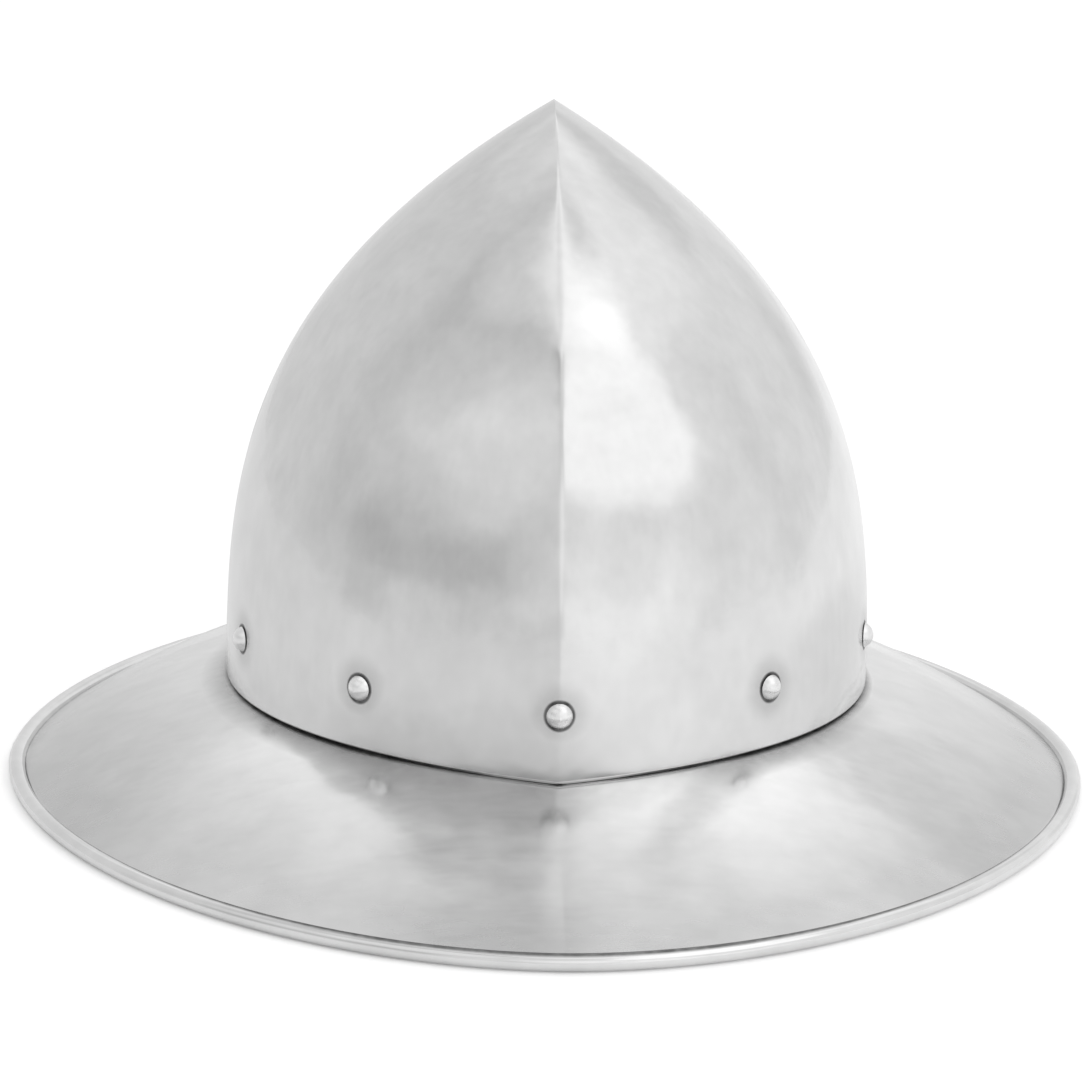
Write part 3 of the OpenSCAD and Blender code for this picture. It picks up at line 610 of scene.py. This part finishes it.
class Net:
    """A tree of shader nodes, built by small steps."""

    def __init__(self, tree):
        self.tree = tree
        tree.nodes.clear()

    def add(self, kind):
        return self.tree.nodes.new(kind)

    def link(self, a, b):
        self.tree.links.new(a, b)

    def feed(self, socket, value):
        """A number or colour is set, and a socket is linked."""
        if isinstance(value, (int, float, tuple)):
            socket.default_value = value
        else:
            self.link(value, socket)

    def spread(self, value, low, high, lo=0.3, hi=0.7, kind="LINEAR"):
        """low where value is lo, high where it is hi."""
        r = self.add("ShaderNodeMapRange")
        r.interpolation_type = kind
        for key, v in (("From Min", lo), ("From Max", hi), ("To Min", low), ("To Max", high)):
            r.inputs[key].default_value = v
        self.link(value, r.inputs["Value"])
        return r.outputs["Result"]

    def tint(self, value, a, b):
        """Colour a where value is 0, b where it is 1."""
        m = self.add("ShaderNodeMix")
        m.data_type = "RGBA"
        self.feed(m.inputs["A"], (*a, 1) if isinstance(a, tuple) else a)
        self.feed(m.inputs["B"], (*b, 1) if isinstance(b, tuple) else b)
        self.link(value, m.inputs["Factor"])
        return m.outputs["Result"]

    def math(self, op, a, b):
        m = self.add("ShaderNodeMath")
        m.operation = op
        self.feed(m.inputs[0], a)
        self.feed(m.inputs[1], b)
        return m.outputs[0]

    def relate(self, op, where, spot):
        """The distance or the dot product of a point and a fixed spot."""
        m = self.add("ShaderNodeVectorMath")
        m.operation = op
        self.link(where, m.inputs[0])
        m.inputs[1].default_value = spot
        return m.outputs["Value"]

    def parts(self, where):
        """A point's X, Y and Z."""
        m = self.add("ShaderNodeSeparateXYZ")
        self.link(where, m.inputs["Vector"])
        return m.outputs


class Paint(Net):
    """A procedural material in Object coordinates."""

    def __init__(self, name):
        self.mat = bpy.data.materials.new(name)
        self.mat.use_nodes = True
        super().__init__(self.mat.node_tree)
        out = self.add("ShaderNodeOutputMaterial")
        self.bsdf = self.add("ShaderNodeBsdfPrincipled")
        self.link(self.bsdf.outputs["BSDF"], out.inputs["Surface"])
        self.where = self.add("ShaderNodeTexCoord").outputs["Object"]
        self.relief = None

    def noise(self, scale, detail=2.0, rough=0.5, stretch=(1, 1, 1), shift=0.0):
        """Cloudy noise of 0..1. shift moves it, so that two of one scale differ."""
        m = self.add("ShaderNodeMapping")
        m.inputs["Scale"].default_value = stretch
        m.inputs["Location"].default_value = (shift, shift * 0.7, shift * 1.3)
        self.link(self.where, m.inputs["Vector"])
        n = self.add("ShaderNodeTexNoise")
        n.inputs["Scale"].default_value = scale
        n.inputs["Detail"].default_value = detail
        n.inputs["Roughness"].default_value = rough
        self.link(m.outputs["Vector"], n.inputs["Vector"])
        return n.outputs["Fac"]

    def own(self, name):
        """The piece's own painted value, 0 where it has none."""
        n = self.add("ShaderNodeAttribute")
        n.attribute_name = name
        return n.outputs["Fac"]

    def bump(self, height, distance, strength=1.0):
        """One more layer of relief, on top of those before it."""
        b = self.add("ShaderNodeBump")
        b.inputs["Distance"].default_value = distance
        b.inputs["Strength"].default_value = strength
        self.link(height, b.inputs["Height"])
        if self.relief:
            self.link(self.relief, b.inputs["Normal"])
        self.relief = b.outputs["Normal"]
        self.link(self.relief, self.bsdf.inputs["Normal"])

    def put(self, colour, rough, **fixed):
        """Colour and roughness go to the shader, and fixed values onto its own sockets."""
        self.link(colour, self.bsdf.inputs["Base Color"])
        self.link(rough, self.bsdf.inputs["Roughness"])
        for key, v in fixed.items():
            self.bsdf.inputs[key.replace("_", " ")].default_value = v
        return self.mat


# Round a rivet, in metres from its middle: where its dark ring of painted shade and dirt stops being full,
# and where that ring and the dirt stain end
FULL_R, RING_R, STAIN_R = 0.0046, 0.0054, 0.0125
# How much darker and duller the painted shade towards the brim's rim makes the steel, how much duller the
# painted shade and dirt make it, and the colour they darken it to
OUTER_SHADE_DARKER, OUTER_SHADE_ROUGHER, SHADE_AND_DIRT_ROUGHER = 0.79, 0.14, 0.3
SHADE_AND_DIRT_COLOUR = (0.06, 0.06, 0.06)


def steel(name, dark, light, r0, r1, wave, rings=False, grain=(1, 1, 0.35)):
    """Satin steel: broad clouds in tone, hand planishing, fine polishing lines, duller and darker with
    painted shade towards the brim's rim, and painted shade with some dirt in its seams and low on the crown
    and, with rings, a dark ring of painted shade and dirt and a stain of dirt round the rivets."""
    p = Paint(name)
    cloud = p.noise(22, 4.0, 0.6)
    fine = p.noise(260, 4.0, 0.6, grain, 3.0)
    mottle = p.noise(95, 2.0, 0.5, shift=11.0)
    tone = p.math("ADD", p.spread(mottle, 0.0, 0.3), p.spread(fine, 0.0, 0.2))
    tone = p.math("ADD", p.spread(cloud, 0.0, 0.5), tone)
    rough = p.math("ADD", p.spread(p.noise(28, 4.0, 0.6, shift=9.0), r0, r1), p.spread(fine, -0.015, 0.015))
    colour = p.tint(tone, (dark,) * 3, (light,) * 3)
    # Painted shade towards the brim's rim: darker and duller outwards
    outer_shade = p.own("outer_shade")
    rough = p.math("ADD", rough, p.spread(outer_shade, 0.0, OUTER_SHADE_ROUGHER, 0.0, 1.0))
    colour = p.tint(outer_shade, colour, p.tint(tone, (dark * OUTER_SHADE_DARKER,) * 3, (light * OUTER_SHADE_DARKER,) * 3))
    # Painted shade with some dirt in the seams, the roll and low on the crown, then round each rivet a dark
    # ring of painted shade and dirt and a faint dirt stain
    shade_and_dirt = p.own("shade_and_dirt")
    for spot in rivet_places() if rings else ():
        gap = p.relate("DISTANCE", p.where, tuple(float(v) * MM for v in spot))
        shade_and_dirt = p.math("MAXIMUM", shade_and_dirt, p.spread(gap, 1.0, 0.0, FULL_R, RING_R))
        shade_and_dirt = p.math("MAXIMUM", shade_and_dirt, p.spread(gap, 0.24, 0.0, FULL_R, STAIN_R, "SMOOTHSTEP"))
    patchy = p.math("MULTIPLY", shade_and_dirt, p.spread(p.noise(300, 3.0), 0.8, 1.0))
    colour = p.tint(patchy, colour, SHADE_AND_DIRT_COLOUR)
    p.bump(p.noise(15, 1.0, 0.4, shift=5.0), wave)
    p.bump(p.noise(42, 1.5, 0.45, shift=7.0), wave * 0.2)
    p.bump(p.math("ADD", fine, p.spread(mottle, 0.0, 3.0)), 0.000006)
    rough = p.math("ADD", rough, p.spread(shade_and_dirt, 0.0, SHADE_AND_DIRT_ROUGHER, 0.0, 1.0))
    return p.put(colour, rough, Metallic=1.0)


def hide(name, dark, light, scale, rough):
    """Leather: mottled dye, pores and creases."""
    p = Paint(name)
    dye = p.noise(scale, 5.0, 0.62)
    stain = p.noise(scale * 0.6, 3.0, 0.6, shift=6.0)
    pores = p.noise(scale * 30, 3.0, 0.6, shift=2.0)
    creases = p.noise(scale * 6, 4.0, 0.7, (1, 1, 2.2), 4.0)
    tone = p.math("ADD", p.spread(dye, 0.0, 0.8), p.spread(pores, -0.1, 0.2))
    tone = p.math("SUBTRACT", tone, p.spread(stain, 0.0, 0.45, 0.52, 0.62, "SMOOTHSTEP"))
    p.bump(creases, 0.0006, 0.7)
    p.bump(pores, 0.00015, 0.8)
    colour = p.tint(tone, dark, light)
    return p.put(colour, p.spread(creases, rough - 0.08, rough + 0.12), Specular_IOR_Level=0.4)


def waxed_thread():
    """Pale waxed linen with a fine twist."""
    p = Paint("waxed_thread")
    twist = p.noise(900, 2.0, 0.5)
    p.bump(twist, 0.0001, 0.6)
    colour = p.tint(p.spread(twist, 0, 1), (0.42, 0.36, 0.26), (0.62, 0.55, 0.42))
    return p.put(colour, p.spread(twist, 0.6, 0.8))


def satin_brass():
    """Brass, mottled in tone and gloss by one noise."""
    p = Paint("satin_brass")
    grain = p.noise(120, 4.0, 0.6)
    p.bump(grain, 0.0001)
    colour = p.tint(p.spread(grain, 0, 1), (0.62, 0.44, 0.18), (0.80, 0.62, 0.30))
    return p.put(colour, p.spread(grain, 0.24, 0.4), Metallic=1.0)


def dress(obj, mat):
    """Puts one material on a piece."""
    obj.data.materials.clear()
    obj.data.materials.append(mat)


def replace(obj, node, mat):
    """Puts a new piece in a CAD node's place, with its material."""
    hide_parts(node)
    dress(obj, mat)


plate = steel("satin_steel", 0.66, 0.80, 0.12, 0.17, 0.0026, rings=True)
brim_plate = steel("brim_steel", 0.72, 0.86, 0.10, 0.15, 0.002, rings=True, grain=(0.15, 1, 1))
studs = steel("rivet_steel", 0.80, 0.92, 0.22, 0.34, 0.00005)
buckle_steel = steel("buckle_steel", 0.40, 0.56, 0.26, 0.40, 0.0001)
wire = steel("drawn_wire", 0.22, 0.34, 0.35, 0.5, 0.0001)
band_hide = hide("band_leather", (0.16, 0.075, 0.03), (0.30, 0.16, 0.075), 22, 0.5)
tongue_hide = hide("tongue_leather", (0.30, 0.17, 0.085), (0.46, 0.29, 0.16), 18, 0.58)
strap_hide = hide("strap_leather", (0.055, 0.025, 0.012), (0.13, 0.065, 0.03), 26, 0.42)

# The new pieces, each in the place of its CAD node
replace(crown(), "skull", plate)
replace(brim(), "brim", brim_plate)
replace(band(), "liner_band", band_hide)
seams = []
for k in range(1, TONGUES + 1):
    leaf, seam = tongue(k)
    replace(leaf, "liner_tongue_%d" % k, tongue_hide)
    seams.append(seam)
short, seam = short_strap()
replace(short, "chin_strap_short", strap_hide)
seams.append(seam)
replace(keeper(), "strap_keeper", strap_hide)
replace(long_strap(), "chin_strap_long", strap_hide)
dress(sewing(np.concatenate(seams)), waxed_thread())

# The CAD nodes that stay, with their finishes and small bevels in metres
brass = satin_brass()
for names, mat in (
        (("skull_rivets", "rivet_washers"), studs),
        (("rim_wire",), wire),
        (("crown_patch",), band_hide),
        (("crown_rivets",), brass),
        (("buckle_frame", "buckle_prong"), buckle_steel)):
    for name in names:
        node = nodes[name]
        dress(node, mat)
        node.data.shade_smooth()
        node.data.set_sharp_from_angle(angle=math.radians(38))
for name, width in (("crown_patch", 0.0005), ("rivet_washers", 0.00015)):
    bevel = nodes[name].modifiers.new("edge", "BEVEL")
    bevel.width, bevel.segments, bevel.limit_method = width, 2, "ANGLE"

# The studio: a floor, a tent of light and two lamps, in metres and degrees
FLOOR_R, FLOOR_DOWN, FLOOR_SIDES = 9, 0.0002, 64
SHADE_SPOT = (0.36, 0.08, 0.0)
FLOOR_WHITE = 0.27


def floor_paint():
    """A pale floor that the camera sees as white with the object's shadow on it. Mirrored in the metal it is
    lighter towards the right, except round one shaded spot."""
    p = Paint("pale_floor")
    grit = p.noise(3.0, 2.0)
    colour = p.tint(grit, (0.87, 0.87, 0.87), (0.89, 0.89, 0.89))
    p.put(colour, p.spread(grit, 0.85, 0.95), Specular_IOR_Level=0.1)
    rays = p.add("ShaderNodeLightPath").outputs
    mirrored = p.math("MAXIMUM", rays["Is Glossy Ray"], rays["Is Transmission Ray"])
    side = p.parts(p.where)
    shade = p.relate("DISTANCE", p.where, SHADE_SPOT)
    gleam = p.math("SUBTRACT", p.spread(side["X"], 0.0, 0.19, -0.25, 0.35, "SMOOTHSTEP"),
                   p.spread(shade, 0.15, 0.0, 0.05, 0.32, "SMOOTHSTEP"))
    seen = p.spread(rays["Is Camera Ray"], 0.0, FLOOR_WHITE, 0.0, 1.0)
    p.link(p.math("MAXIMUM", seen, p.math("MULTIPLY", mirrored, gleam)), p.bsdf.inputs["Emission Strength"])
    p.bsdf.inputs["Emission Color"].default_value = (1, 1, 1, 1)
    return p.mat


def floor_disc():
    """A many-sided disc, r (cos a, sin a), just under the rim."""
    a = np.linspace(0, 2 * math.pi, FLOOR_SIDES + 1)[:-1]
    disc = np.stack([FLOOR_R * np.cos(a), FLOOR_R * np.sin(a), 0 * a - FLOOR_DOWN], -1)
    mesh = bpy.data.meshes.new("floor")
    mesh.from_pydata(disc.tolist(), [], [tuple(range(FLOOR_SIDES))])
    mesh.materials.append(floor_paint())
    obj = bpy.data.objects.new("floor", mesh)
    bpy.context.scene.collection.objects.link(obj)
    return obj


floor = floor_disc()

# Spots in the tent: azimuth, elevation, the angle within which a spot is full, and where it ends
KEY_LIGHT = 0.33
KEY_SPOTS = ((44, 44, 10, 20), (62, 40, 9, 18), (72, 44, 5, 12), (60, 54, 9, 18), (69, 61, 6, 16))
DARK_SPOT = (-58, 12, 12, 46)

# The same, with the light that each spot adds
SOFT_SPOTS = (
    (100, 60, 6, 22, 0.10), (125, 52, 6, 22, 0.12), (-85, 60, 6, 22, -0.08), (-44, 43, 8, 24, 0.15),
    (-76, 44, 4, 18, 0.07), (156, 46, 2, 12, 0.2), (-164, 48, 2, 22, 0.24), (4, 25, 5, 22, 0.2),
    (-32, 69, 4, 10, -0.25), (42, 6, 8, 26, 0.18), (-25, 13, 3, 14, 0.12), (150, 33, 4, 14, -0.12),
    (-149, 44, 3, 10, -0.11), (-65, -1, 4, 14, 0.06), (-105, 66, 4, 12, 0.13), (119, 67, 2, 9, -0.17),
    (93, 62, 3, 9, 0.14), (165, 53, 2, 9, 0.13), (144, 8, 3, 12, -0.11), (45, 17, 6, 13, -0.15),
    (-80, 7, 4, 14, -0.08), (155, 41, 1, 7, 0.12))


# The tent's light, where 1 is white: the wall to the left and right, the roof at its edge and top, the rest
WALL_LEFT, WALL_RIGHT, ROOF_LIGHT, TOP_LIGHT = 0.745, 0.915, 0.32, 0.20
DARK_AROUND, DARK_WITHIN, GAP_LIGHT, WITHIN_ROOF = 0.01, 0.165, -0.06, 0.35

# Where it changes, as (start, end) along the direction's x, y or z
WALL_X, GAP_FROM_Y, GAP_TO_Y = (-0.5, 0.6), (0.02, 0.16), (0.24, 0.38)
DARK_FROM_Z, DARK_TO_Z, ROOF_Z, TOP_Z = (0.08, 0.24), (0.26, 0.50), (0.915, 0.945), (0.940, 0.985)


def toward(azimuth, elevation):
    """Unit vector (sin a cos e, -cos a cos e, sin e). Azimuth 0 is in front of the hat, 90 to the right."""
    a, e = math.radians(azimuth), math.radians(elevation)
    return (math.sin(a) * math.cos(e), -math.cos(a) * math.cos(e), math.sin(e))


class Tent(Net):
    """The world's light as a function of direction."""

    def __init__(self, tree):
        super().__init__(tree)
        self.way = self.add("ShaderNodeTexCoord").outputs["Generated"]

    def glow(self, azimuth, elevation, full, none):
        """1 within full degrees of a direction, 0 beyond none."""
        near = self.relate("DOT_PRODUCT", self.way, toward(azimuth, elevation))
        edge, core = math.cos(math.radians(none)), math.cos(math.radians(full))
        return self.spread(near, 0.0, 1.0, edge, core, "SMOOTHSTEP")


def tent_light(tent):
    """A wall that is brighter on the right, less a dark patch low at the front left, plus the soft boxes with
    a darker gap just behind the sides, weaker within the roof, plus the roof's own light, which fades towards
    the top."""
    x, y, z = tent.parts(tent.way)
    wall = tent.spread(x, WALL_LEFT, WALL_RIGHT, *WALL_X, "SMOOTHSTEP")
    low = tent.spread(z, 0.0, 1.0, *DARK_FROM_Z, "SMOOTHSTEP")
    high = tent.spread(z, 1.0, 0.0, *DARK_TO_Z, "SMOOTHSTEP")
    belt = tent.math("MULTIPLY", low, high)
    dark = tent.math("MULTIPLY", belt, tent.spread(tent.glow(*DARK_SPOT), DARK_AROUND, DARK_WITHIN, 0.0, 1.0))
    gap = tent.math("MULTIPLY", tent.spread(y, 0.0, 1.0, *GAP_FROM_Y, "SMOOTHSTEP"),
                    tent.spread(y, GAP_LIGHT, 0.0, *GAP_TO_Y, "SMOOTHSTEP"))
    key = tent.glow(*KEY_SPOTS[0])
    for spot in KEY_SPOTS[1:]:
        key = tent.math("MAXIMUM", key, tent.glow(*spot))
    soft = tent.math("ADD", gap, tent.spread(key, 0.0, KEY_LIGHT, 0.0, 1.0))
    for *spot, more in SOFT_SPOTS:
        soft = tent.math("ADD", soft, tent.spread(tent.glow(*spot), 0.0, more, 0.0, 1.0))
    roof = tent.spread(z, 0.0, 1.0, *ROOF_Z)
    around = tent.math("MULTIPLY", tent.spread(roof, 1.0, WITHIN_ROOF, 0.0, 1.0), soft)
    light = tent.math("ADD", tent.math("SUBTRACT", wall, dark), around)
    overhead = tent.math("MULTIPLY", roof, tent.spread(z, ROOF_LIGHT, TOP_LIGHT, *TOP_Z, "SMOOTHSTEP"))
    return tent.math("ADD", light, overhead)


def hang_tent():
    """The tent lights the object, and the camera itself sees white."""
    world = bpy.data.worlds.new("tent")
    bpy.context.scene.world = world
    world.use_nodes = True
    tent = Tent(world.node_tree)
    light = tent_light(tent)
    sky = tent.add("ShaderNodeBackground")
    tent.link(light, sky.inputs["Color"])
    white = tent.add("ShaderNodeBackground")
    white.inputs["Color"].default_value = (1, 1, 1, 1)
    mix = tent.add("ShaderNodeMixShader")
    tent.link(tent.add("ShaderNodeLightPath").outputs["Is Camera Ray"], mix.inputs["Fac"])
    tent.link(sky.outputs["Background"], mix.inputs[1])
    tent.link(white.outputs["Background"], mix.inputs[2])
    tent.link(mix.outputs["Shader"], tent.add("ShaderNodeOutputWorld").inputs["Surface"])


def lamp(name, azimuth, elevation, distance, size, power):
    """A square soft box that faces the hat, seen neither directly nor in the metal."""
    data = bpy.data.lights.new(name, "AREA")
    data.shape, data.size, data.energy = "SQUARE", size, power
    obj = bpy.data.objects.new(name, data)
    to = Vector(toward(azimuth, elevation))
    obj.location = Vector((0, 0, 0.1)) + to * distance
    obj.rotation_mode = "QUATERNION"
    obj.rotation_quaternion = to.to_track_quat("Z", "Y")
    obj.visible_camera = obj.visible_glossy = False
    bpy.context.scene.collection.objects.link(obj)


hang_tent()
lamp("key", 46, 47, 2.2, 1.1, 0.6)
lamp("fill", -120, 65, 2.4, 1.6, 0.8)

# The camera: what it looks at and from where, in metres and degrees, and the picture's scale at that point
AIM = Vector((-0.00109, 0.0065, 0.0735))
AZIMUTH, ELEVATION, DISTANCE, ROLL = -2.05, 14.4, 1.537, 1.08
PIXELS_PER_MM, PICTURE_PIXELS, SENSOR_MM = 3.058, 1090, 36.0


def photo_camera():
    """In front, a little to the left and above, slightly rolled. The focal length follows from the scale:
    lens / sensor = scale distance / picture."""
    az, roll = math.radians(AZIMUTH), math.radians(ROLL)
    back = Vector(toward(AZIMUTH, ELEVATION))
    right = Vector((math.cos(az), math.sin(az), 0))
    up = back.cross(right)
    cam_x = right * math.cos(roll) + up * math.sin(roll)
    cam_y = up * math.cos(roll) - right * math.sin(roll)
    data = bpy.data.cameras.new("camera")
    data.sensor_width = SENSOR_MM
    data.lens = SENSOR_MM * PIXELS_PER_MM * DISTANCE / MM / PICTURE_PIXELS
    obj = bpy.data.objects.new("camera", data)
    bpy.context.scene.collection.objects.link(obj)
    turned = Matrix((cam_x, cam_y, back)).transposed().to_4x4()
    obj.matrix_world = Matrix.Translation(AIM + back * DISTANCE) @ turned
    return obj


bpy.context.scene.camera = photo_camera()
bpy.context.scene.view_settings.view_transform = "Standard"
